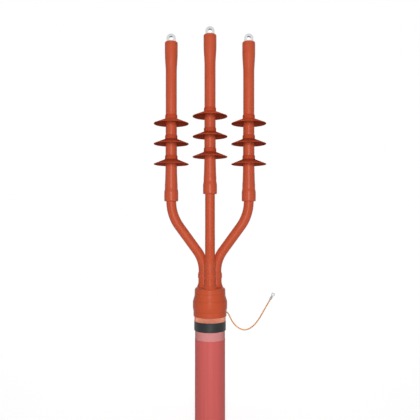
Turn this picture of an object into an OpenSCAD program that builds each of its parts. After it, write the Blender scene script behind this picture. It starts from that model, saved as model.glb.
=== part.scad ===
// Three-core outdoor cable termination of the heat-shrink kind, in millimetres.
// The origin is the centre of the cable's cut end. +Z runs up the cable and the lug palms face -Y.

/* [Cable] */
// Diameter over the outer sheath
sheath_d = 71; // [68:0.5:76]
// Length of plain sheath below the abraded band
stub_len = 217; // [120:1:300]
// Diameter over one screened core
core_d = 21; // [20:0.5:22]
// Diameter of one conductor
conductor_d = 11.6; // [9:0.2:13]

/* [Boot] */
// Height of the boot's body
boot_h = 67; // [64:1:76]
// Length of each finger above the body
finger_len = 30; // [27:1:40]
// Height of the copper band that shows below the boot
copper_h = 11; // [8:1:20]
// Height of the black sealing band
mastic_h = 22; // [15:1:30]

/* [Cores] */
// Distance between neighbouring cores at the lugs
phase_pitch = 91; // [86:1:110]
// Slope of the two outer cores, in degrees from upright
side_angle = 36; // [30:1:42]
// Radius of the bend that leaves the boot
low_bend = 80; // [70:5:90]
// Radius of the bend below each tube
high_bend = 100; // [80:5:110]

/* [Tubes and sheds] */
// Length of each anti-tracking tube
tube_len = 374; // [350:1:430]
// Wall of each anti-tracking tube
tube_wall = 3.1; // [2.6:0.1:3.6]
// Diameter of the sheds
shed_d = 82; // [70:1:84]
// Distance from one shed to the next
shed_pitch = 47.6; // [40:0.2:50]

/* [Lugs] */
// Width of the palm
palm_w = 21.6; // [20:0.2:22]
// Thickness of the palm
palm_t = 8; // [6:0.5:8]
// Diameter of the bolt hole
bolt_hole_d = 10.5; // [8:0.5:11]

/* [Earth lead] */
// Diameter of the lead
lead_d = 3.2; // [2.6:0.2:3.6]
// Diameter of the hole in the ring
ring_hole_d = 4.3; // [3.2:0.1:5.3]

/* [Hidden] */
$fn = 96;
left = 0;
middle = 1;
right = 2;

// Cable layers
sheath_r = sheath_d / 2;
sheath_wall = 3;
screen_t = 1.2;
bedding_r = sheath_r - sheath_wall - screen_t;
core_r = core_d / 2;
core_screen_t = 0.8;
insulation_r = core_r - core_screen_t;
conductor_r = conductor_d / 2;
core_gap = 0.6;
layer_fit = 0.05;
lay_r = (core_d + core_gap) / sqrt(3);
abraded_depth = 0.5;
abraded_h = 20;
mastic_t = 1.65;
mastic_edge = 1.2;
fold_h = 16;
bedding_show = 4;
spread_run = 3;

// Heights up the cable
mastic_z = stub_len + abraded_h;
copper_z = mastic_z + mastic_h;
boot_z = copper_z + copper_h;
sheath_top = boot_z + fold_h;
screen_top = sheath_top + screen_t;
bedding_top = screen_top + bedding_show;
spread_z = bedding_top + spread_run;
shoulder_z = boot_z + boot_h;
finger_z = shoulder_z + finger_len;

// Boot
copper_r = sheath_r + screen_t;
lip_wall = 2.1;
lip_h = 11.5;
lip_edge = 1.2;
lip_r = copper_r + lip_wall;
bulge_r = lip_r + 1.6;
bulge_low = boot_z + 20.5;
bulge_high = boot_z + 34.5;
bulge_round = 8;
crown_r = lip_r - 3;
crown_low_r = crown_r + 0.6;
crown_low = shoulder_z - 19.5;
shoulder_round = 6;
boot_wall = 3;
roof_t = 4;
roof_cut = 1;
finger_wall = 1.8;
finger_r = core_r + finger_wall;
flare_ratio = 1.45;
flare_low = shoulder_z - 6;
flare_high = shoulder_z + 9;
flare_round = 20;

// Sleeves, pushed over the fingers
sleeve_wall = 1;
sleeve_r = core_r + sleeve_wall;
sleeve_end_wall = 1;
sleeve_end_r = finger_r + sleeve_end_wall;
sleeve_end_edge = 0.5;
finger_show = 21.5;
sleeve_z = shoulder_z + finger_show;
sleeve_lap = 26;
finger_gap = 3.8;
finger_circle = (2 * sleeve_end_r + finger_gap) / sqrt(3);
sleeve_taper = 6;
taper_top = finger_z + sleeve_taper;
straight_run = 2;
sleeve_root = 1;
swing_z = taper_top + straight_run;

// The cores part inside the boot in one small S
spread_bend = 60;
spread_angle = 14;
spread_slope = (finger_circle - lay_r - 2 * spread_bend * (1 - cos(spread_angle))) / sin(spread_angle);
spread_h = 2 * spread_bend * sin(spread_angle) + spread_slope * cos(spread_angle);

// Where each core leaves the boot, and where it stands at the lug
azimuth = [150, 270, 30];
middle_angle = 16;
swing_angle = [side_angle, middle_angle, side_angle];
lug_place = [[-phase_pitch, 0], [0, 0], [phase_pitch, 0]];
function finger_place(core) = finger_circle * [cos(azimuth[core]), sin(azimuth[core])];
function swing(core) = lug_place[core] - finger_place(core);
function heading(core) = atan2(swing(core)[1], swing(core)[0]);

// The S of each core is a bend, a straight slope and a bend back
bends = low_bend + high_bend;
function slope_len(core) =
    (norm(swing(core)) - bends * (1 - cos(swing_angle[core]))) / sin(swing_angle[core]);
function swing_h(core) = bends * sin(swing_angle[core]) + slope_len(core) * cos(swing_angle[core]);
function swing_len(core) = bends * swing_angle[core] * PI / 180 + slope_len(core);
function swing_loss(core) = swing_len(core) - swing_h(core);

// The cores are cut to nearly one length, so the straighter middle core ends higher
bend_clear = 0.2;
cut_shorter = [0, 1.6, 0];
side_tube_z = swing_z + swing_h(left) + bend_clear;
function tube_z(core) = side_tube_z + swing_loss(left) - swing_loss(core) - cut_shorter[core];

// Heights inside a termination, counted from the lower end of its tube
seal_recess = 1;
flare_h = 22;
flare_step = 8;
neck_h = 16;
screen_show = 26;
screen_cut = sleeve_lap + screen_show;
stress_step = screen_cut + 2;
stress_taper = 4;
stress_len = 88;
stress_top = screen_cut + stress_len;
zone_low = 75;
zone_high = tube_len - 159;
insulation_top = tube_len - 76;
swell_low = insulation_top + 4;
swell_high = tube_len - 25;
barrel_h = 54;
barrel_floor = 8;
barrel_top = insulation_top + barrel_h;
bore_top = barrel_top - barrel_floor;
palm_rise = 14;
palm_low = barrel_top + palm_rise;
palm_lap = 1;
palm_root = 8;
lug_seal_top = tube_len - 2.5;
hole_t = tube_len + 8.3;

// Radii inside a termination
end_seal_t = 1.9;
end_seal_r = sleeve_r + end_seal_t;
stress_wall = 1;
stress_low_r = core_r + stress_wall;
stress_r = insulation_r + stress_wall;
barrel_r = 9.5;
lug_seal_r = 12.1;
flare_r = end_seal_r + tube_wall;
neck_swell = 0.4;
neck_r = sleeve_r + tube_wall + neck_swell;
waist_in = 0.7;
waist_r = neck_r - waist_in;
zone_low_r = stress_r + tube_wall - 0.2;
shaft_r = insulation_r + tube_wall + 0.25;
head_r = lug_seal_r + tube_wall;
mouth_t = 0.6;
tube_edge = 2.4;
flare_edge = 3;
neck_round = 20;

// Sheds
shed_r = shed_d / 2;
shed_edge = 0.9;
skirt_h = 11.8;
skirt_root = 3;
collar_wall = 1.15;
collar_h = 21;
collar_root = 3;
collar_bevel = 1.5;
collar_round = 1;
collar_edge = 0.3;
first_shed = zone_low + 12;

// Earth lead, from the sheath through the copper band and round to its lug
lead_r = lead_d / 2;
lead_sides = 8;
lead_azimuth = 60;
lead_z = copper_z + copper_h / 2;
lead_start = [
    sheath_r * cos(lead_azimuth),
    sheath_r * sin(lead_azimuth),
    lead_z
];
// Route of the lead, counted from its start
lead_route = [
    [0, 0, 0], [3, 5.2, 0], [6, 9, 1], [10, 11.5, 3.5], [14.5, 12, 6.5], [19, 11, 8], [23, 9.5, 7],
    [27, 8, 2.5], [30.5, 7, -4], [34.5, 6, -12], [39.5, 5, -19.5], [45.5, 4, -26], [52, 3, -30.5],
    [59, 2, -33.5], [66, 1, -34.5], [73, 0.5, -33], [80, 0, -29.5], [87.5, -0.5, -23.5], [94.5, -1, -15.5],
    [101, -1, -6.5], [107, -1, 3.5], [112.5, -1, 13.5], [118, -1, 23], [123.2, -1, 32], [127.2, -1, 39],
    [130.2, -1, 44.2]
];
lead_points = [for (p = lead_route) lead_start + p];
lead_tilt = 30;
crimp_depth = 6;
crimp_h = 8;
crimp_wall = 0.8;
ring_t = 14;
ring_wall = 2.05;
tongue_t = 1.2;

// Outlines with rounded corners: each corner is [x, y] or [x, y, radius]
arc_steps = 6;
function flat(p) = [p[0], p[1]];
function unit(v) = v / norm(v);
function turned(p, a) = [p[0] * cos(a) - p[1] * sin(a), p[0] * sin(a) + p[1] * cos(a)];
function corner(before, at, after) =
    len(at) < 3 ? [at] :
    let (
        to_before = unit(flat(before) - flat(at)),
        to_after = unit(flat(after) - flat(at)),
        half = acos(to_before * to_after) / 2,
        centre = flat(at) + unit(to_before + to_after) * at[2] / sin(half),
        spoke = flat(at) + to_before * at[2] / tan(half) - centre,
        side = -sign(cross(to_before, to_after))
    )
    [for (i = [0:arc_steps]) centre + turned(spoke, side * (180 - 2 * half) * i / arc_steps)];
function rounded(corners) =
    let (n = len(corners))
    [for (i = [0:n - 1]) each corner(corners[(i + n - 1) % n], corners[i], corners[(i + 1) % n])];

module turned_solid(corners) {
    rotate_extrude() polygon(rounded(corners));
}

// Round bar along a path. A step is [straight run, bend radius, bend angle, heading].
// Each run laps into the bends at its ends, and a bend is a hair thicker than the runs.
bend_lap = 0.4;
bend_slack = 0.15;
pipe_cut = 1;
module swept(path, r, i = 0) {
    run = path[i][0];
    bend = path[i][1];
    angle = path[i][2];
    way = path[i][3];
    lap_below = i > 0 ? bend_lap : 0;
    lap_above = angle > 0 ? bend_lap : 0;
    translate([0, 0, -lap_below]) cylinder(r = r, h = lap_below + run + lap_above);
    if (angle > 0)
        translate([0, 0, run])
            rotate(way) {
                translate([bend, 0, 0])
                    rotate([90, 0, 180])
                        rotate_extrude(angle = angle) translate([bend, 0]) circle(r + bend_slack);
                if (i < len(path) - 1)
                    translate([bend * (1 - cos(angle)), 0, bend * sin(angle)])
                        rotate([0, angle, 0])
                            rotate(-way)
                                swept(path, r, i + 1);
            }
}

// A pipe is a bar with a thinner bar taken out, which runs past both ends
function end_cut(path, i) = (i == 0 ? pipe_cut : 0) + (i == len(path) - 1 ? pipe_cut : 0);
module pipe(path, r, hole) {
    longer = [for (i = [0:len(path) - 1]) path[i] + [end_cut(path, i), 0, 0, 0]];
    difference() {
        swept(path, r);
        translate([0, 0, -pipe_cut]) swept(longer, hole);
    }
}

// The path of a core: in the cable, through the boot, and up to a height inside its termination
function in_cable(core) = [
    [spread_z, spread_bend, spread_angle, azimuth[core]],
    [spread_slope, spread_bend, spread_angle, azimuth[core] + 180]
];
function above_boot(core, first_run, top) = [
    [first_run, low_bend, swing_angle[core], heading(core)],
    [slope_len(core), high_bend, swing_angle[core], heading(core) + 180],
    [tube_z(core) + top - swing_z - swing_h(core), 0, 0, 0]
];
function core_path(core, top) =
    concat(in_cable(core), above_boot(core, swing_z - spread_z - spread_h, top));

module in_lay(core) {
    translate(lay_r * [cos(azimuth[core]), sin(azimuth[core])]) children();
}

module on_finger(core) {
    translate(finger_place(core)) children();
}

module on_core(core) {
    translate([lug_place[core][0], lug_place[core][1], tube_z(core)]) children();
}

// Cable
module outer_sheath() {
    color("#c4605c") turned_solid([
        [sheath_r - sheath_wall, 0],
        [sheath_r, 0],
        [sheath_r, stub_len],
        [sheath_r - abraded_depth, stub_len + abraded_depth],
        [sheath_r - abraded_depth, mastic_z - abraded_depth],
        [sheath_r, mastic_z],
        [sheath_r, sheath_top],
        [sheath_r - sheath_wall, sheath_top]
    ]);
}

// The screen runs up under the sheath, folds over its end and comes down outside it
module copper_screen() {
    color("#d98a5e") difference() {
        turned_solid([
            [bedding_r, 0],
            [bedding_r + screen_t, 0],
            [bedding_r + screen_t, sheath_top],
            [sheath_r, sheath_top],
            [sheath_r, copper_z],
            [copper_r, copper_z],
            [copper_r, screen_top],
            [bedding_r, screen_top]
        ]);
        translate([0, 0, lead_z])
            rotate([0, 90, lead_azimuth])
                translate([0, 0, sheath_r - screen_t]) cylinder(r = lead_r, h = 3 * screen_t);
    }
}

module bedding() {
    color("#4a4a4c") difference() {
        cylinder(r = bedding_r, h = bedding_top);
        for (core = [left:right])
            in_lay(core) translate([0, 0, -1]) cylinder(r = core_r + layer_fit, h = bedding_top + 2);
    }
}

module sealing_mastic() {
    color("#2e3031") turned_solid([
        [sheath_r, mastic_z],
        [sheath_r + mastic_t, mastic_z, mastic_edge],
        [sheath_r + mastic_t, copper_z, mastic_edge],
        [sheath_r, copper_z]
    ]);
}

// Boot: one moulding, a turned body with three fingers that flare into its shoulder
module boot_cavity() {
    turned_solid([
        [0, screen_top],
        [copper_r, screen_top],
        [bulge_r - boot_wall, bulge_low],
        [bulge_r - boot_wall, bulge_high],
        [crown_low_r - boot_wall, crown_low],
        [crown_r - boot_wall, shoulder_z - roof_t, shoulder_round],
        [0, shoulder_z - roof_t]
    ]);
}

module finger() {
    turned_solid([
        [0, flare_low],
        [flare_ratio * finger_r, flare_low],
        [finger_r, flare_high, flare_round],
        [finger_r, finger_z],
        [0, finger_z]
    ]);
}

module breakout_boot() {
    color("#b8532f") difference() {
        union() {
            turned_solid([
                [0, boot_z],
                [lip_r, boot_z, lip_edge],
                [lip_r, boot_z + lip_h, bulge_round],
                [bulge_r, bulge_low, bulge_round],
                [bulge_r, bulge_high, bulge_round],
                [crown_low_r, crown_low, bulge_round],
                [crown_r, shoulder_z, shoulder_round],
                [0, shoulder_z]
            ]);
            for (core = [left:right]) on_finger(core) finger();
        }
        translate([0, 0, boot_z - 1]) cylinder(r = copper_r, h = screen_top - boot_z + 1);
        boot_cavity();
        for (core = [left:right])
            on_finger(core) translate([0, 0, shoulder_z - roof_t - roof_cut])
                cylinder(r = core_r + layer_fit, h = boot_h);
    }
}

module crutch_filler() {
    color("#8a3a26") difference() {
        boot_cavity();
        translate([0, 0, screen_top - 1]) cylinder(r = bedding_r, h = bedding_top - screen_top + 1);
        for (core = [left:right]) in_lay(core) swept(core_path(core, 0), core_r + layer_fit);
    }
}

// Cores, from the cut end of the cable to the lugs. The right core is the left one mirrored.
module conductor(core) {
    color("#c0c1c4") in_lay(core) swept(core_path(core, bore_top), conductor_r);
}

module insulation(core) {
    color("#ece8dc") in_lay(core)
        pipe(core_path(core, insulation_top), insulation_r, conductor_r + layer_fit);
}

module core_screen(core) {
    color("#3b3b3d") in_lay(core)
        pipe(core_path(core, screen_cut), core_r, insulation_r + layer_fit);
}

// A sleeve is stretched over the finger at its lower end
module sleeve(core) {
    color("#b5502d") on_finger(core) {
        turned_solid([
            [finger_r, sleeve_z],
            [sleeve_end_r, sleeve_z, sleeve_end_edge],
            [sleeve_end_r, finger_z, sleeve_taper],
            [sleeve_r + bend_slack, taper_top],
            [core_r + layer_fit, taper_top],
            [core_r + layer_fit, finger_z],
            [finger_r, finger_z]
        ]);
        translate([0, 0, taper_top - sleeve_root])
            pipe(above_boot(core, sleeve_root + straight_run, sleeve_lap), sleeve_r, core_r + layer_fit);
    }
}

module stress_tube(core) {
    color("#1f2022") on_core(core) turned_solid([
        [core_r, sleeve_lap],
        [stress_low_r, sleeve_lap],
        [stress_low_r, stress_step],
        [stress_r, stress_step + stress_taper],
        [stress_r, stress_top],
        [insulation_r, stress_top + stress_taper],
        [insulation_r, screen_cut],
        [core_r, screen_cut]
    ]);
}

module end_seal(core) {
    color("#6d2f22") on_core(core) turned_solid([
        [sleeve_r, seal_recess],
        [end_seal_r, seal_recess],
        [end_seal_r, flare_h],
        [sleeve_r, sleeve_lap]
    ]);
}

// The tube swells over the lug barrel by a smooth step between two radii
swell_steps = 8;
function swell(low_r, high_r) = [
    for (i = [0:swell_steps])
        let (s = i / swell_steps)
        [low_r + (high_r - low_r) * s * s * (3 - 2 * s), swell_low + (swell_high - swell_low) * s]
];

// Radius of the tube where the sheds sit
function zone_r(t) = zone_low_r + (shaft_r - zone_low_r) * (t - zone_low) / (zone_high - zone_low);

module tube(core) {
    bore = concat(
        [[end_seal_r, 0], [end_seal_r, flare_h], [sleeve_r, sleeve_lap]],
        [[stress_low_r, stress_step], [stress_r, stress_step + stress_taper], [stress_r, stress_top]],
        [[insulation_r, stress_top + stress_taper]],
        swell(insulation_r, lug_seal_r),
        [[lug_seal_r, tube_len]]
    );
    outside = concat(
        [[lug_seal_r + mouth_t, tube_len], [head_r, tube_len, tube_edge]],
        [for (i = [swell_steps:-1:0]) swell(shaft_r, head_r)[i]],
        [[shaft_r, zone_high], [zone_low_r, zone_low]],
        [[waist_r, stress_step - stress_taper, neck_round], [neck_r, flare_h + neck_h, neck_round]],
        [[neck_r, flare_h + flare_step, flare_edge], [flare_r, flare_h, flare_edge], [flare_r, 0, tube_edge]]
    );
    color("#b8532f") on_core(core) turned_solid(concat(bore, outside));
}

// A shed is shrunk on the tube, so its bore has the tube's own taper
function shed_t(place) = first_shed + place * shed_pitch;

module shed(core, place) {
    rim = shed_t(place);
    under = rim + skirt_h - skirt_root;
    top = rim + collar_h;
    collar_r = zone_r(rim + skirt_h) + collar_wall;
    color("#b04c2c") on_core(core) turned_solid([
        [zone_r(under), under],
        [shed_r, rim - shed_edge, shed_edge],
        [shed_r, rim + shed_edge, shed_edge],
        [collar_r, rim + skirt_h, collar_root],
        [collar_r, top - collar_bevel, collar_round],
        [zone_r(top) + collar_edge, top],
        [zone_r(top), top]
    ]);
}

// Lug: a round barrel pressed flat into a palm, outlined from the front and from the side
module lug_body() {
    translate([0, 0, insulation_top]) cylinder(r = barrel_r, h = barrel_h);
    intersection() {
        rotate([90, 0, 0])
            linear_extrude(3 * barrel_r, center = true) {
                polygon([
                    [-palm_root, barrel_top - palm_lap],
                    [palm_root, barrel_top - palm_lap],
                    [palm_w / 2, palm_low],
                    [palm_w / 2, hole_t],
                    [-palm_w / 2, hole_t],
                    [-palm_w / 2, palm_low]
                ]);
                translate([0, hole_t]) circle(palm_w / 2);
            }
        rotate([90, 0, 90])
            linear_extrude(3 * barrel_r, center = true)
                polygon([
                    [-palm_root, barrel_top - palm_lap],
                    [palm_root, barrel_top - palm_lap],
                    [palm_t / 2, palm_low],
                    [palm_t / 2, hole_t + palm_w],
                    [-palm_t / 2, hole_t + palm_w],
                    [-palm_t / 2, palm_low]
                ]);
    }
}

module lug(core) {
    color("#d9dadb") on_core(core) difference() {
        lug_body();
        translate([0, 0, insulation_top - 1])
            cylinder(r = conductor_r + layer_fit, h = bore_top - insulation_top + 1);
        translate([0, 0, hole_t])
            rotate([90, 0, 0]) cylinder(d = bolt_hole_d, h = 2 * palm_t, center = true);
    }
}

module lug_seal(core) {
    color("#6d2f22") on_core(core) difference() {
        turned_solid(concat(
            [[0, insulation_top], [insulation_r, insulation_top]],
            swell(insulation_r, lug_seal_r),
            [[lug_seal_r, lug_seal_top], [0, lug_seal_top]]
        ));
        lug_body();
        translate([0, 0, insulation_top - 1]) cylinder(r = barrel_r, h = barrel_h);
    }
}

// Earth lead: one tube with a ring of points at every point of its route
function lead_way(i) =
    unit(lead_points[min(i + 1, len(lead_points) - 1)] - lead_points[max(i - 1, 0)]);
function lead_ring(i) =
    let (
        side = unit(cross(lead_way(i), [0, 1, 0])),
        up = cross(side, lead_way(i))
    )
    [for (k = [0:lead_sides - 1])
        lead_points[i] + lead_r * (cos(360 * k / lead_sides) * side + sin(360 * k / lead_sides) * up)];

module earth_lead() {
    last = len(lead_points) - 1;
    sides = [
        for (i = [0:last - 1], k = [0:lead_sides - 1])
            let (next = (k + 1) % lead_sides)
            [i * lead_sides + k, i * lead_sides + next, (i + 1) * lead_sides + next, (i + 1) * lead_sides + k]
    ];
    start_face = [for (k = [lead_sides - 1:-1:0]) k];
    end_face = [for (k = [0:lead_sides - 1]) last * lead_sides + k];
    color("#d08a4a") polyhedron(
        [for (i = [0:last]) each lead_ring(i)],
        concat([start_face], sides, [end_face])
    );
}

module earth_lug() {
    crimp_r = lead_r + crimp_wall;
    mouth = lead_points[len(lead_points) - 1] - crimp_depth * [sin(lead_tilt), 0, cos(lead_tilt)];
    color("#c9cacb") translate(mouth) rotate([0, lead_tilt, 0]) difference() {
        union() {
            cylinder(r = crimp_r, h = crimp_h);
            rotate([90, 0, 0])
                linear_extrude(tongue_t, center = true) {
                    translate([-crimp_r, crimp_h - 1]) square([2 * crimp_r, ring_t - crimp_h + 1]);
                    translate([0, ring_t]) circle(ring_hole_d / 2 + ring_wall);
                }
        }
        translate([0, 0, -1]) cylinder(r = lead_r, h = crimp_depth + 1);
        translate([0, 0, ring_t])
            rotate([90, 0, 0]) cylinder(d = ring_hole_d, h = 4 * tongue_t, center = true);
    }
}

outer_sheath();
copper_screen();
bedding();
sealing_mastic();
breakout_boot();
crutch_filler();
earth_lead();
earth_lug();
lug(left);  // left_lug
lug(middle);  // middle_lug
lug(right);  // right_lug
conductor(left);  // left_conductor
conductor(middle);  // middle_conductor
mirror([1, 0, 0]) conductor(left);  // right_conductor
insulation(left);  // left_insulation
insulation(middle);  // middle_insulation
mirror([1, 0, 0]) insulation(left);  // right_insulation
core_screen(left);  // left_core_screen
core_screen(middle);  // middle_core_screen
mirror([1, 0, 0]) core_screen(left);  // right_core_screen
stress_tube(left);  // left_stress_tube
stress_tube(middle);  // middle_stress_tube
stress_tube(right);  // right_stress_tube
sleeve(left);  // left_sleeve
sleeve(middle);  // middle_sleeve
mirror([1, 0, 0]) sleeve(left);  // right_sleeve
tube(left);  // left_tube
tube(middle);  // middle_tube
tube(right);  // right_tube
shed(left, 2);  // left_upper_shed
shed(left, 1);  // left_centre_shed
shed(left, 0);  // left_lower_shed
shed(middle, 2);  // middle_upper_shed
shed(middle, 1);  // middle_centre_shed
shed(middle, 0);  // middle_lower_shed
shed(right, 2);  // right_upper_shed
shed(right, 1);  // right_centre_shed
shed(right, 0);  // right_lower_shed
lug_seal(left);  // left_lug_seal
lug_seal(middle);  // middle_lug_seal
lug_seal(right);  // right_lug_seal
end_seal(left);  // left_end_seal
end_seal(middle);  // middle_end_seal
end_seal(right);  // right_end_seal
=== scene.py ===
import math

import bpy
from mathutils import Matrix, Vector


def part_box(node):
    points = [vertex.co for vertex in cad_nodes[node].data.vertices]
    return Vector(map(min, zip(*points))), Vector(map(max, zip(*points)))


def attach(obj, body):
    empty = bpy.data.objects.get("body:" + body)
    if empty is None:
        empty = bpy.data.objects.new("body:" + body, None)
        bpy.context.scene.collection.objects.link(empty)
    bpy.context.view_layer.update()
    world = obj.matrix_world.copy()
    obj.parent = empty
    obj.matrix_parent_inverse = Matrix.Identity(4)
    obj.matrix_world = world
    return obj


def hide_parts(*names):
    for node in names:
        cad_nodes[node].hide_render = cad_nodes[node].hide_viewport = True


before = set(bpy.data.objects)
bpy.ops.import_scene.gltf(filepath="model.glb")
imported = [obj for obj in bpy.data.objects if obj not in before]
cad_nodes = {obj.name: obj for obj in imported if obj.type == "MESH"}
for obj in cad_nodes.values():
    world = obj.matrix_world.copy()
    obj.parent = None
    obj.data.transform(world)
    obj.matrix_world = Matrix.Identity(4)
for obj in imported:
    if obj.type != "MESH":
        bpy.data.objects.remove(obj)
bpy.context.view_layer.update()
scene = bpy.context.scene

# Names of the cores, and sizes read from the frame in metres
CORES = ("left", "middle", "right")
SHEATH_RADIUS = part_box("outer_sheath")[1].x
SHEATH_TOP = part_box("outer_sheath")[1].z
SCREEN_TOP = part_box("copper_screen")[1].z
MASTIC_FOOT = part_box("sealing_mastic")[0].z
MASTIC_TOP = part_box("sealing_mastic")[1].z
BOOT_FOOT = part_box("breakout_boot")[0].z

# Camera: level, in front of the middle core, a little below the sheds
PHOTO_PX = 420
FOCAL_PX = 500
HORIZON_PX = 220
CAMERA_PLACE = (0.0, -1.175, 0.495)
SENSOR_MM = 36

camera_data = bpy.data.cameras.new("camera")
camera_data.sensor_width = SENSOR_MM
camera_data.lens = SENSOR_MM * FOCAL_PX / PHOTO_PX
camera_data.shift_y = (HORIZON_PX - PHOTO_PX / 2) / PHOTO_PX
camera_data.clip_start = 0.01
camera = bpy.data.objects.new("camera", camera_data)
camera.location = CAMERA_PLACE
camera.rotation_euler = (math.radians(90), 0, 0)
scene.collection.objects.link(camera)
scene.camera = camera


# Tools for meshes and Geometry Nodes
def chain_object(name, points):
    """A row of points joined by edges, as the line that a tree of nodes follows."""
    mesh = bpy.data.meshes.new(name)
    mesh.from_pydata(points, [(i, i + 1) for i in range(len(points) - 1)], [])
    line = bpy.data.objects.new(name, mesh)
    scene.collection.objects.link(line)
    return line


def node_tree(name, sizes):
    """A geometry tree with a geometry input, one input for each size and a material input."""
    tree = bpy.data.node_groups.new(name, "GeometryNodeTree")
    tree.interface.new_socket("Line", in_out="INPUT", socket_type="NodeSocketGeometry")
    for size, kind in sizes.items():
        tree.interface.new_socket(size, in_out="INPUT", socket_type=kind)
    tree.interface.new_socket("Finish", in_out="INPUT", socket_type="NodeSocketMaterial")
    tree.interface.new_socket("Piece", in_out="OUTPUT", socket_type="NodeSocketGeometry")
    return tree


def made_piece(name, line, tree, values):
    """Runs the tree on the line and returns the result as a plain mesh that rides on the object."""
    modifier = line.modifiers.new(tree.name, "NODES")
    modifier.node_group = tree
    for item in tree.interface.items_tree:
        if item.in_out == "INPUT" and item.name in values:
            modifier[item.identifier] = values[item.name]
    depsgraph = bpy.context.evaluated_depsgraph_get()
    mesh = bpy.data.meshes.new_from_object(line.evaluated_get(depsgraph))
    mesh.name = name
    line.modifiers.remove(modifier)
    piece = bpy.data.objects.new(name, mesh)
    scene.collection.objects.link(piece)
    bpy.data.objects.remove(line)
    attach(piece, "root")
    return piece


# Tools for materials
def linear(red, green, blue):
    """A colour written in 0 to 255 as a picture shows it, turned to the linear values that Blender uses."""
    parts = []
    for part in (red, green, blue):
        s = part / 255
        parts.append(s / 12.92 if s <= 0.04045 else ((s + 0.055) / 1.055) ** 2.4)
    return (*parts, 1.0)


def shader_group(name, inputs, outputs):
    """A shader node group with named sockets, and its two end nodes."""
    group = bpy.data.node_groups.new(name, "ShaderNodeTree")
    for socket, (kind, value) in inputs.items():
        made = group.interface.new_socket(socket, in_out="INPUT", socket_type=kind)
        if value is not None:
            made.default_value = value
    for socket, kind in outputs.items():
        group.interface.new_socket(socket, in_out="OUTPUT", socket_type=kind)
    return group, group.nodes.new("NodeGroupInput"), group.nodes.new("NodeGroupOutput")


def math_node(tree, operation, first, second=None, third=None):
    """One sum on values or sockets; returns the output socket."""
    node = tree.nodes.new("ShaderNodeMath")
    node.operation = operation
    for slot, value in enumerate((first, second, third)):
        if value is None:
            continue
        if isinstance(value, (int, float)):
            node.inputs[slot].default_value = value
        else:
            tree.links.new(value, node.inputs[slot])
    return node.outputs[0]


def noise(tree, vector, scale, detail=2.0):
    """A noise texture on a vector socket; returns its value socket."""
    node = tree.nodes.new("ShaderNodeTexNoise")
    node.inputs["Detail"].default_value = detail
    tree.links.new(vector, node.inputs["Vector"])
    if isinstance(scale, (int, float)):
        node.inputs["Scale"].default_value = scale
    else:
        tree.links.new(scale, node.inputs["Scale"])
    return node.outputs["Fac"]


def stretched(tree, vector, scales):
    """The vector multiplied along its three axes."""
    node = tree.nodes.new("ShaderNodeVectorMath")
    node.operation = "MULTIPLY"
    node.inputs[1].default_value = scales
    tree.links.new(vector, node.inputs[0])
    return node.outputs["Vector"]


def mixed_colour(tree, amount, first, second):
    """A mix of two colours; each is a socket or a linear colour."""
    node = tree.nodes.new("ShaderNodeMix")
    node.data_type = "RGBA"
    tree.links.new(amount, node.inputs["Factor"])
    for socket, colour in ((node.inputs[6], first), (node.inputs[7], second)):
        if isinstance(colour, tuple):
            socket.default_value = colour
        else:
            tree.links.new(colour, socket)
    return node.outputs[2]


def between(tree, value, low, high):
    """1 where the value lies between two limits, with edges a little soft."""
    soft = 0.0004
    sides = []
    for outer, inner in ((low - soft, low + soft), (high + soft, high - soft)):
        side = tree.nodes.new("ShaderNodeMapRange")
        side.inputs["From Min"].default_value = outer
        side.inputs["From Max"].default_value = inner
        tree.links.new(value, side.inputs["Value"])
        sides.append(side.outputs["Result"])
    return math_node(tree, "MULTIPLY", *sides)


# Mottle: slow and fine changes of shade, as on any moulded or extruded polymer
SPECK_SHARE = 0.4

mottle, mottle_in, mottle_out = shader_group(
    "mottle",
    {
        "Vector": ("NodeSocketVector", None),
        "Base": ("NodeSocketColor", None),
        "Shade": ("NodeSocketColor", None),
        "Patch Scale": ("NodeSocketFloat", 30.0),
        "Speck Scale": ("NodeSocketFloat", 700.0),
    },
    {"Color": "NodeSocketColor", "Patch": "NodeSocketFloat", "Speck": "NodeSocketFloat"},
)
patch = noise(mottle, mottle_in.outputs["Vector"], mottle_in.outputs["Patch Scale"], detail=3.0)
speck = noise(mottle, mottle_in.outputs["Vector"], mottle_in.outputs["Speck Scale"], detail=1.0)
patch_share = math_node(mottle, "MULTIPLY", patch, 1 - SPECK_SHARE)
blend_amount = math_node(mottle, "MULTIPLY_ADD", speck, SPECK_SHARE, patch_share)
shade_mix = mixed_colour(mottle, blend_amount, mottle_in.outputs["Base"], mottle_in.outputs["Shade"])
mottle.links.new(shade_mix, mottle_out.inputs["Color"])
mottle.links.new(patch, mottle_out.inputs["Patch"])
mottle.links.new(speck, mottle_out.inputs["Speck"])

# Hoops: fine lines round a piece, at uneven heights
HOOP_DRIFT_SCALE = 60.0

hoops, hoops_in, hoops_out = shader_group(
    "hoops",
    {
        "Vector": ("NodeSocketVector", None),
        "Spacing": ("NodeSocketFloat", 0.002),
        "Wander": ("NodeSocketFloat", 0.3),
    },
    {"Height": "NodeSocketFloat"},
)
hoop_axes = hoops.nodes.new("ShaderNodeSeparateXYZ")
hoops.links.new(hoops_in.outputs["Vector"], hoop_axes.inputs[0])
hoop_turns = math_node(hoops, "DIVIDE", hoop_axes.outputs["Z"], hoops_in.outputs["Spacing"])
hoop_noise = noise(hoops, hoops_in.outputs["Vector"], HOOP_DRIFT_SCALE)
hoop_drift = math_node(hoops, "MULTIPLY", hoop_noise, hoops_in.outputs["Wander"])
hoop_phase = math_node(hoops, "MULTIPLY", math_node(hoops, "ADD", hoop_turns, hoop_drift), 2 * math.pi)
hoop_wave = math_node(hoops, "MULTIPLY_ADD", math_node(hoops, "SINE", hoop_phase), 0.5, 0.5)
hoops.links.new(hoop_wave, hoops_out.inputs["Height"])


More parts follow.
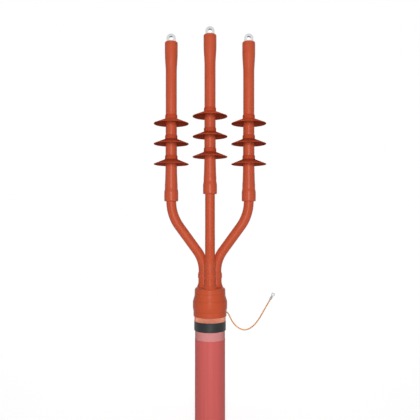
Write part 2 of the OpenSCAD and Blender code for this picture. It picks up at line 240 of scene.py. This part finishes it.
class Finish:
    """One material: its tree, its shader, and the place and facing that its patterns read."""

    def __init__(self, name):
        self.material = bpy.data.materials.new(name)
        self.material.use_nodes = True
        self.tree = self.material.node_tree
        self.shader = self.tree.nodes["Principled BSDF"]
        coordinates = self.tree.nodes.new("ShaderNodeTexCoord").outputs
        self.place = coordinates["Object"]
        self.facing = coordinates["Normal"]

    def group(self, group, vector, **values):
        """Places a shader group, fed by a vector, with its own values."""
        node = self.tree.nodes.new("ShaderNodeGroup")
        node.node_tree = group
        self.tree.links.new(vector, node.inputs["Vector"])
        for name, value in values.items():
            node.inputs[name.replace("_", " ")].default_value = value
        return node

    def upward_part(self, vector):
        """The Z part of a vector: a height in metres, or how far a face looks up."""
        axes = self.tree.nodes.new("ShaderNodeSeparateXYZ")
        self.tree.links.new(vector, axes.inputs[0])
        return axes.outputs["Z"]

    def darkened_below(self, colour, amount, dark):
        """The colour, drawn toward a dark one on faces that look down: painted shade."""
        down = math_node(self.tree, "MULTIPLY", self.upward_part(self.facing), -amount)
        return mixed_colour(self.tree, down, colour, dark)

    def colour(self, socket):
        """Base colour from a socket."""
        self.tree.links.new(socket, self.shader.inputs["Base Color"])

    def roughness(self, socket, low, high):
        """Roughness that follows a value from low to high."""
        level = math_node(self.tree, "MULTIPLY_ADD", socket, high - low, low)
        self.tree.links.new(level, self.shader.inputs["Roughness"])

    def relief(self, height, depth):
        """Bump of that depth in metres."""
        bump = self.tree.nodes.new("ShaderNodeBump")
        bump.inputs["Distance"].default_value = depth
        self.tree.links.new(height, bump.inputs["Height"])
        self.tree.links.new(bump.outputs["Normal"], self.shader.inputs["Normal"])


# Heat-shrink polymer of the tubes, sleeves, sheds and boot, with lengths in metres
# Fine dark lines of painted shade round the boot and the tube ends, at set heights
CREASE_WIDTH = 0.0012
CREASE_SHADE_STRENGTH = 0.22
CREASE_SHADE_COLOUR = linear(110, 40, 22)
# Painted shade on faces that look down, such as the sheds' undersides
UNDERSIDE_SHADE_COLOUR = linear(96, 48, 38)
BOOT_CREASE_SHADE_HEIGHTS = (BOOT_FOOT + 0.012, BOOT_FOOT + 0.036, BOOT_FOOT + 0.053)
TUBE_RING_DROP = 0.0075
RED_BROWN = linear(196, 88, 58)
HOOP_SHARE = 0.6
SHRINK_RELIEF = 0.00006


def heat_shrink(name, base, shade, hoop_spacing, gloss, crease_shade_heights=(), underside_shade=0.0):
    """Shrunk anti-tracking polymer: satin, faintly mottled, with slight hoops where it shrank.

    Each crease shade height gets a fine dark line round the piece: painted shade where the polymer folds
    or shrinks over an end. Faces that look down are drawn toward a dark colour by the given share: painted
    shade, as under the sheds.
    """
    finish = Finish(name)
    finish.shader.inputs["Specular IOR Level"].default_value = gloss
    patches = finish.group(
        mottle, finish.place, Base=base, Shade=shade, Patch_Scale=38.0, Speck_Scale=900.0
    )
    rings = finish.group(hoops, finish.place, Spacing=hoop_spacing, Wander=0.8)
    colour = patches.outputs["Color"]
    for height in crease_shade_heights:
        line = between(finish.tree, finish.upward_part(finish.place), height, height + CREASE_WIDTH)
        # Painted shade of a fold: a fine dark line at this height
        crease_shade = math_node(finish.tree, "MULTIPLY", line, CREASE_SHADE_STRENGTH)
        colour = mixed_colour(finish.tree, crease_shade, colour, CREASE_SHADE_COLOUR)
    # Faces that look down are drawn toward a dark colour: painted shade
    finish.colour(finish.darkened_below(colour, underside_shade, UNDERSIDE_SHADE_COLOUR))
    finish.roughness(patches.outputs["Patch"], low=0.26, high=0.36)
    hoop_height = math_node(finish.tree, "MULTIPLY", rings.outputs["Height"], HOOP_SHARE)
    relief = math_node(finish.tree, "ADD", hoop_height, patches.outputs["Speck"])
    finish.relief(relief, SHRINK_RELIEF)
    return finish.material


sleeve_finish = heat_shrink(
    "core_sleeve", RED_BROWN, linear(181, 75, 46), hoop_spacing=0.017, gloss=0.08
)
# The sheds' undersides get painted shade
shed_finish = heat_shrink(
    "rain_shed", linear(190, 80, 51), linear(174, 68, 42), hoop_spacing=0.004, gloss=0.0, underside_shade=0.5
)
boot_finish = heat_shrink(
    "breakout_boot", linear(196, 86, 55), linear(180, 74, 45),
    hoop_spacing=0.0055, gloss=0.08, crease_shade_heights=BOOT_CREASE_SHADE_HEIGHTS,
)


def tube_finish(core):
    """An anti-tracking tube, with a fine line of painted shade where its end has shrunk over the lug."""
    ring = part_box(f"{core}_tube")[1].z - TUBE_RING_DROP
    return heat_shrink(
        f"{core}_tube", RED_BROWN, linear(180, 74, 45), hoop_spacing=0.013, gloss=0.13, crease_shade_heights=(ring,)
    )


# Cable sheath: extruded, with streaks along it and one abraded band
ABRADED_HEIGHT = 0.020
ABRADED_FOOT = MASTIC_FOOT - ABRADED_HEIGHT
STREAKS_ALONG = (60.0, 60.0, 1.5)
SHEATH_GRAIN_SHARE = 0.4


def cable_sheath_finish():
    """Plain sheath, and the band where it was rubbed rough for the mastic."""
    finish = Finish("cable_sheath")
    finish.shader.inputs["Specular IOR Level"].default_value = 0.08
    along = stretched(finish.tree, finish.place, STREAKS_ALONG)
    streak = noise(finish.tree, along, scale=4.0, detail=3.0)
    plain = mixed_colour(finish.tree, streak, linear(205, 99, 95), linear(192, 88, 85))
    scratches = finish.group(hoops, finish.place, Spacing=0.0022, Wander=1.2)
    worn = linear(214, 145, 142)
    less_worn = linear(200, 126, 125)
    rubbed = mixed_colour(finish.tree, scratches.outputs["Height"], worn, less_worn)
    band = between(finish.tree, finish.upward_part(finish.place), ABRADED_FOOT, MASTIC_FOOT)
    finish.colour(mixed_colour(finish.tree, band, plain, rubbed))
    finish.roughness(band, low=0.42, high=0.75)
    grain = noise(finish.tree, finish.place, scale=800.0)
    scratched = math_node(finish.tree, "MULTIPLY", scratches.outputs["Height"], band)
    relief = math_node(finish.tree, "MULTIPLY_ADD", grain, SHEATH_GRAIN_SHARE, scratched)
    finish.relief(relief, depth=0.00012)
    return finish.material


# Sealing mastic
TAPE_EDGE_SHARE = 1.4


def mastic_tape_finish():
    """Black sealing mastic, wound on as a tape."""
    finish = Finish("black_mastic")
    finish.shader.inputs["Specular IOR Level"].default_value = 0.32
    black = linear(32, 35, 36)
    deep_black = linear(20, 22, 23)
    patches = finish.group(
        mottle, finish.place, Base=black, Shade=deep_black, Patch_Scale=60.0, Speck_Scale=600.0
    )
    winds = finish.group(hoops, finish.place, Spacing=0.0035, Wander=0.5)
    finish.colour(patches.outputs["Color"])
    finish.roughness(patches.outputs["Patch"], low=0.38, high=0.6)
    tape_edges = math_node(finish.tree, "MULTIPLY", winds.outputs["Height"], TAPE_EDGE_SHARE)
    relief = math_node(finish.tree, "ADD", tape_edges, patches.outputs["Speck"])
    finish.relief(relief, depth=0.0001)
    return finish.material


# Metals
# Painted shade for lug faces that look down, such as the top wall of the bolt hole
DOWNWARD_SHADE_COLOUR = linear(58, 58, 60)
DRAWN_UP = (1.0, 1.0, 0.12)
NO_GRAIN = (1.0, 1.0, 1.0)


def metal(name, bright, dull, roughness, grain, downward_shade=0.0):
    """Bare metal with a drawn or rolled grain, dulled patches, and painted shade on faces that look down.
    """
    finish = Finish(name)
    finish.shader.inputs["Metallic"].default_value = 1.0
    drawn = stretched(finish.tree, finish.place, grain)
    patches = finish.group(mottle, drawn, Base=bright, Shade=dull, Patch_Scale=25.0, Speck_Scale=300.0)
    # Faces that look down are drawn toward dark grey: painted shade
    finish.colour(finish.darkened_below(patches.outputs["Color"], downward_shade, DOWNWARD_SHADE_COLOUR))
    finish.roughness(patches.outputs["Patch"], *roughness)
    finish.relief(patches.outputs["Speck"], depth=0.00003)
    return finish.material


# Fillings and cable layers
STRAND_SCALE = 420.0
STRAND_UNEVENNESS = 0.35
STRAND_RIM = 1.6
ACROSS_ONLY = (1.0, 1.0, 0.0)


def soft_filling(name, base, shade):
    """Mastic, bedding or semiconducting compound: dull and grainy."""
    finish = Finish(name)
    patches = finish.group(
        mottle, finish.place, Base=base, Shade=shade, Patch_Scale=90.0, Speck_Scale=1200.0
    )
    finish.colour(patches.outputs["Color"])
    finish.roughness(patches.outputs["Patch"], low=0.6, high=0.85)
    finish.relief(patches.outputs["Speck"], depth=0.00015)
    return finish.material


def stranded_end_finish():
    """The cut end of a conductor, where its strands show as cells."""
    finish = Finish("stranded_conductor")
    finish.shader.inputs["Metallic"].default_value = 1.0
    cells = finish.tree.nodes.new("ShaderNodeTexVoronoi")
    cells.inputs["Scale"].default_value = STRAND_SCALE
    cells.inputs["Randomness"].default_value = STRAND_UNEVENNESS
    across = stretched(finish.tree, finish.place, ACROSS_ONLY)
    finish.tree.links.new(across, cells.inputs["Vector"])
    rim = math_node(finish.tree, "MULTIPLY", cells.outputs["Distance"], STRAND_RIM)
    finish.colour(mixed_colour(finish.tree, rim, linear(214, 215, 218), linear(120, 121, 126)))
    finish.roughness(rim, low=0.28, high=0.5)
    finish.relief(math_node(finish.tree, "SUBTRACT", 1.0, rim), depth=0.0003)
    return finish.material


copper_finish = metal("bare_copper", linear(200, 138, 117), linear(182, 114, 90), (0.4, 0.55), DRAWN_UP)
lead_finish = metal("copper_lead", linear(188, 127, 52), linear(166, 101, 35), (0.35, 0.5), NO_GRAIN)
# The lug's faces that look down get painted shade
lug_finish = metal(
    "lug_metal", linear(208, 209, 212), linear(186, 187, 190), (0.16, 0.26), DRAWN_UP, downward_shade=0.95
)
small_lug_finish = metal(
    "tinned_copper", linear(134, 134, 138), linear(98, 99, 103), (0.3, 0.42), NO_GRAIN
)
red_filler = soft_filling("red_mastic", linear(128, 54, 40), linear(100, 40, 30))
bedding_finish = soft_filling("bedding_compound", linear(80, 80, 82), linear(60, 60, 62))
black_compound = soft_filling("semiconductor", linear(44, 44, 46), linear(30, 30, 32))
core_white = soft_filling("core_insulation", linear(236, 232, 220), linear(222, 217, 202))

# Earth lead: strands twisted round one another along the route of the lead
LEAD_AZIMUTH = math.radians(60)
LEAD_START = Vector((
    SHEATH_RADIUS * math.cos(LEAD_AZIMUTH),
    SHEATH_RADIUS * math.sin(LEAD_AZIMUTH),
    (MASTIC_TOP + BOOT_FOOT) / 2,
))
LEAD_DIAMETER = 0.0032
LEAD_STRANDS = 7
LEAD_LAY = 0.022
LEAD_VALLEY = 0.78
LEAD_SOFTNESS = LEAD_DIAMETER / 12
LEAD_STEPS = 6
LEAD_ROUTE_MM = [
    (0, 0, 0), (3, 5.2, 0), (6, 9, 1), (10, 11.5, 3.5), (14.5, 12, 6.5), (19, 11, 8), (23, 9.5, 7),
    (27, 8, 2.5), (30.5, 7, -4), (34.5, 6, -12), (39.5, 5, -19.5), (45.5, 4, -26), (52, 3, -30.5),
    (59, 2, -33.5), (66, 1, -34.5), (73, 0.5, -33), (80, 0, -29.5), (87.5, -0.5, -23.5), (94.5, -1, -15.5),
    (101, -1, -6.5), (107, -1, 3.5), (112.5, -1, 13.5), (118, -1, 23), (123.2, -1, 32), (127.2, -1, 39),
    (130.2, -1, 44.2),
]


def smooth_line(points, steps):
    """A smooth line through all the points, with so many steps between each two."""
    ends = [2 * points[0] - points[1], *points, 2 * points[-1] - points[-2]]
    line = []
    for before, start, end, after in zip(ends, ends[1:], ends[2:], ends[3:]):
        for i in range(steps):
            t = i / steps
            line.append(
                0.5 * (2 * start + (end - before) * t
                       + (2 * before - 5 * start + 4 * end - after) * t ** 2
                       + (3 * start - before - 3 * end + after) * t ** 3)
            )
    return [*line, points[-1]]


def twisted_strands_tree():
    """A tree that sweeps a lobed outline along the line and turns it as it goes."""
    tree = node_tree("twisted_strands", {
        "Radius": "NodeSocketFloat",
        "Strands": "NodeSocketInt",
        "Turns": "NodeSocketFloat",
    })
    start = tree.nodes.new("NodeGroupInput")
    end = tree.nodes.new("NodeGroupOutput")
    curve = tree.nodes.new("GeometryNodeMeshToCurve")
    along = tree.nodes.new("GeometryNodeSplineParameter")
    turn = math_node(tree, "MULTIPLY", along.outputs["Factor"], start.outputs["Turns"])
    tilt = tree.nodes.new("GeometryNodeSetCurveTilt")
    outline = tree.nodes.new("GeometryNodeCurveStar")
    inner = math_node(tree, "MULTIPLY", start.outputs["Radius"], LEAD_VALLEY)
    soft = tree.nodes.new("GeometryNodeFilletCurve")
    soft.inputs["Radius"].default_value = LEAD_SOFTNESS
    sweep = tree.nodes.new("GeometryNodeCurveToMesh")
    sweep.inputs["Fill Caps"].default_value = True
    smooth = tree.nodes.new("GeometryNodeSetShadeSmooth")
    realize = tree.nodes.new("GeometryNodeRealizeInstances")
    paint = tree.nodes.new("GeometryNodeSetMaterial")
    tree.links.new(start.outputs["Line"], curve.inputs["Mesh"])
    tree.links.new(curve.outputs["Curve"], tilt.inputs["Curve"])
    tree.links.new(math_node(tree, "MULTIPLY", turn, 2 * math.pi), tilt.inputs["Tilt"])
    tree.links.new(start.outputs["Strands"], outline.inputs["Points"])
    tree.links.new(inner, outline.inputs["Inner Radius"])
    tree.links.new(start.outputs["Radius"], outline.inputs["Outer Radius"])
    tree.links.new(outline.outputs["Curve"], soft.inputs["Curve"])
    tree.links.new(tilt.outputs["Curve"], sweep.inputs["Curve"])
    tree.links.new(soft.outputs["Curve"], sweep.inputs["Profile Curve"])
    tree.links.new(sweep.outputs["Mesh"], smooth.inputs["Geometry"])
    tree.links.new(smooth.outputs["Geometry"], realize.inputs["Geometry"])
    tree.links.new(realize.outputs["Geometry"], paint.inputs["Geometry"])
    tree.links.new(start.outputs["Finish"], paint.inputs["Material"])
    tree.links.new(paint.outputs["Geometry"], end.inputs["Piece"])
    return tree


lead_line = smooth_line([LEAD_START + Vector(p) / 1000 for p in LEAD_ROUTE_MM], LEAD_STEPS)
lead_length = sum((b - a).length for a, b in zip(lead_line, lead_line[1:]))
stranded_lead = made_piece(
    "stranded_earth_lead",
    chain_object("lead_line", lead_line),
    twisted_strands_tree(),
    {
        "Radius": LEAD_DIAMETER / 2,
        "Strands": LEAD_STRANDS,
        "Turns": lead_length / LEAD_LAY,
        "Finish": lead_finish,
    },
)
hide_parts("earth_lead")

# Copper screen: a ring of wires, each folded back over the end of the sheath
SCREEN_WIRES = 160
WIRE_DIAMETER = 0.0012
WIRE_SIDES = 8
FOLD_STEPS = 6
SHEATH_WALL = 0.003


def folded_wire():
    """The line of one wire: up under the sheath, over its end and down outside it."""
    inside = SHEATH_RADIUS - SHEATH_WALL - WIRE_DIAMETER / 2
    outside = SHEATH_RADIUS + WIRE_DIAMETER / 2
    centre = (inside + outside) / 2
    reach = (outside - inside) / 2
    rise = SCREEN_TOP - WIRE_DIAMETER / 2 - SHEATH_TOP
    line = [(inside, 0, 0), (inside, 0, SHEATH_TOP / 2)]
    for step in range(FOLD_STEPS + 1):
        angle = math.pi * (1 - step / FOLD_STEPS)
        line.append((centre + reach * math.cos(angle), 0, SHEATH_TOP + rise * math.sin(angle)))
    line.append((outside, 0, MASTIC_TOP))
    return line


def wire_ring_tree():
    """A tree that makes one round wire on the line and sets copies of it in a ring about Z."""
    tree = node_tree("wire_ring", {"Radius": "NodeSocketFloat", "Count": "NodeSocketInt"})
    start = tree.nodes.new("NodeGroupInput")
    end = tree.nodes.new("NodeGroupOutput")
    curve = tree.nodes.new("GeometryNodeMeshToCurve")
    outline = tree.nodes.new("GeometryNodeCurvePrimitiveCircle")
    outline.inputs["Resolution"].default_value = WIRE_SIDES
    sweep = tree.nodes.new("GeometryNodeCurveToMesh")
    sweep.inputs["Fill Caps"].default_value = True
    smooth = tree.nodes.new("GeometryNodeSetShadeSmooth")
    centres = tree.nodes.new("GeometryNodePoints")
    number = tree.nodes.new("GeometryNodeInputIndex")
    turn = tree.nodes.new("ShaderNodeCombineXYZ")
    copies = tree.nodes.new("GeometryNodeInstanceOnPoints")
    realize = tree.nodes.new("GeometryNodeRealizeInstances")
    paint = tree.nodes.new("GeometryNodeSetMaterial")
    share = math_node(tree, "DIVIDE", number.outputs["Index"], start.outputs["Count"])
    tree.links.new(math_node(tree, "MULTIPLY", share, 2 * math.pi), turn.inputs["Z"])
    tree.links.new(start.outputs["Line"], curve.inputs["Mesh"])
    tree.links.new(start.outputs["Radius"], outline.inputs["Radius"])
    tree.links.new(curve.outputs["Curve"], sweep.inputs["Curve"])
    tree.links.new(outline.outputs["Curve"], sweep.inputs["Profile Curve"])
    tree.links.new(sweep.outputs["Mesh"], smooth.inputs["Geometry"])
    tree.links.new(start.outputs["Count"], centres.inputs["Count"])
    tree.links.new(centres.outputs["Points"], copies.inputs["Points"])
    tree.links.new(smooth.outputs["Geometry"], copies.inputs["Instance"])
    tree.links.new(turn.outputs["Vector"], copies.inputs["Rotation"])
    tree.links.new(copies.outputs["Instances"], realize.inputs["Geometry"])
    tree.links.new(realize.outputs["Geometry"], paint.inputs["Geometry"])
    tree.links.new(start.outputs["Finish"], paint.inputs["Material"])
    tree.links.new(paint.outputs["Geometry"], end.inputs["Piece"])
    return tree


screen_wires = made_piece(
    "copper_screen_wires",
    chain_object("wire_line", folded_wire()),
    wire_ring_tree(),
    {"Radius": WIRE_DIAMETER / 2, "Count": SCREEN_WIRES, "Finish": copper_finish},
)
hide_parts("copper_screen")

# Finishes of the CAD nodes
NODE_FINISH = {
    "outer_sheath": cable_sheath_finish(),
    "sealing_mastic": mastic_tape_finish(),
    "bedding": bedding_finish,
    "breakout_boot": boot_finish,
    "crutch_filler": red_filler,
    "earth_lug": small_lug_finish,
}
CORE_FINISH = {
    "lug": lug_finish,
    "conductor": stranded_end_finish(),
    "insulation": core_white,
    "core_screen": black_compound,
    "stress_tube": black_compound,
    "sleeve": sleeve_finish,
    "upper_shed": shed_finish,
    "centre_shed": shed_finish,
    "lower_shed": shed_finish,
    "lug_seal": red_filler,
    "end_seal": red_filler,
}
for core in CORES:
    NODE_FINISH[f"{core}_tube"] = tube_finish(core)
    for kind, finish in CORE_FINISH.items():
        NODE_FINISH[f"{core}_{kind}"] = finish
for name, finish in NODE_FINISH.items():
    cad_nodes[name].data.materials.clear()
    cad_nodes[name].data.materials.append(finish)

# Studio: a white floor, a white surround and soft lights in front, above and behind
SURROUND_FILL = 0.12
FLOOR_PAINT = (0.6, 0.6, 0.6, 1)
FLOOR_REACH = 8.0
FLOOR_TOP_UP = 0.53
SHADOW_REACH = 0.5
PLAIN_WHITE_REACH = 1.0


def seen_directly(tree):
    """1 for rays from the camera and for those that a gloss or a clear piece sends on."""
    rays = tree.nodes.new("ShaderNodeLightPath").outputs
    seen = math_node(tree, "MAXIMUM", rays["Is Camera Ray"], rays["Is Glossy Ray"])
    return math_node(tree, "MAXIMUM", seen, rays["Is Transmission Ray"])


def white_world():
    """White where it is seen, and a weak fill as light on the object."""
    world = bpy.data.worlds.new("white_surround")
    world.use_nodes = True
    tree = world.node_tree
    sky = tree.nodes["Background"]
    sky.inputs["Color"].default_value = (1, 1, 1, 1)
    strength = math_node(tree, "MULTIPLY_ADD", seen_directly(tree), 1 - SURROUND_FILL, SURROUND_FILL)
    tree.links.new(strength, sky.inputs["Strength"])
    scene.world = world


def white_floor():
    """A pale floor, white where it is seen.

    By the object it adds to the lamps' light just enough to be white, so the shadow shows. Farther off
    it is plain white.
    """
    mesh = bpy.data.meshes.new("floor")
    reach = FLOOR_REACH
    corners = [(-reach, -reach, 0), (reach, -reach, 0), (reach, reach, 0), (-reach, reach, 0)]
    mesh.from_pydata(corners, [], [(0, 1, 2, 3)])
    floor = bpy.data.objects.new("floor", mesh)
    scene.collection.objects.link(floor)
    material = bpy.data.materials.new("white_floor")
    material.use_nodes = True
    tree = material.node_tree
    tree.nodes.remove(tree.nodes["Principled BSDF"])
    seen = seen_directly(tree)
    paint = tree.nodes.new("ShaderNodeBsdfDiffuse")
    paint.inputs["Color"].default_value = FLOOR_PAINT
    glow = tree.nodes.new("ShaderNodeEmission")
    tree.links.new(math_node(tree, "MULTIPLY", seen, FLOOR_TOP_UP), glow.inputs["Strength"])
    near = tree.nodes.new("ShaderNodeAddShader")
    tree.links.new(paint.outputs[0], near.inputs[0])
    tree.links.new(glow.outputs[0], near.inputs[1])
    white = tree.nodes.new("ShaderNodeEmission")
    white.inputs["Strength"].default_value = 1.0
    distance = tree.nodes.new("ShaderNodeVectorMath")
    distance.operation = "LENGTH"
    tree.links.new(tree.nodes.new("ShaderNodeTexCoord").outputs["Object"], distance.inputs[0])
    farness = tree.nodes.new("ShaderNodeMapRange")
    farness.inputs["From Min"].default_value = SHADOW_REACH
    farness.inputs["From Max"].default_value = PLAIN_WHITE_REACH
    tree.links.new(distance.outputs["Value"], farness.inputs["Value"])
    mix = tree.nodes.new("ShaderNodeMixShader")
    tree.links.new(math_node(tree, "MULTIPLY", seen, farness.outputs["Result"]), mix.inputs[0])
    tree.links.new(near.outputs[0], mix.inputs[1])
    tree.links.new(white.outputs[0], mix.inputs[2])
    tree.links.new(mix.outputs[0], tree.nodes["Material Output"].inputs["Surface"])
    mesh.materials.append(material)


def soft_lamp(name, place, aim, size, watts, glints=True):
    """An area lamp; without glints it lights a surface but isn't mirrored in it."""
    data = bpy.data.lights.new(name, "AREA")
    data.shape = "RECTANGLE"
    data.size, data.size_y = size
    data.energy = watts
    lamp = bpy.data.objects.new(name, data)
    lamp.location = place
    lamp.rotation_euler = (Vector(aim) - Vector(place)).to_track_quat("-Z", "Y").to_euler()
    lamp.visible_glossy = glints
    scene.collection.objects.link(lamp)


white_world()
white_floor()
soft_lamp("front_light", place=(0, -2.2, 0.65), aim=(0, 0, 0.5), size=(0.5, 1.0), watts=40)
soft_lamp("back_light", place=(0, 2.2, 1.2), aim=(0, 0, 0.45), size=(0.5, 0.9), watts=36, glints=False)
soft_lamp("top_light", place=(0, 0, 2.4), aim=(0, 0, 0.6), size=(1.2, 1.2), watts=14)
scene.view_settings.view_transform = "Standard"
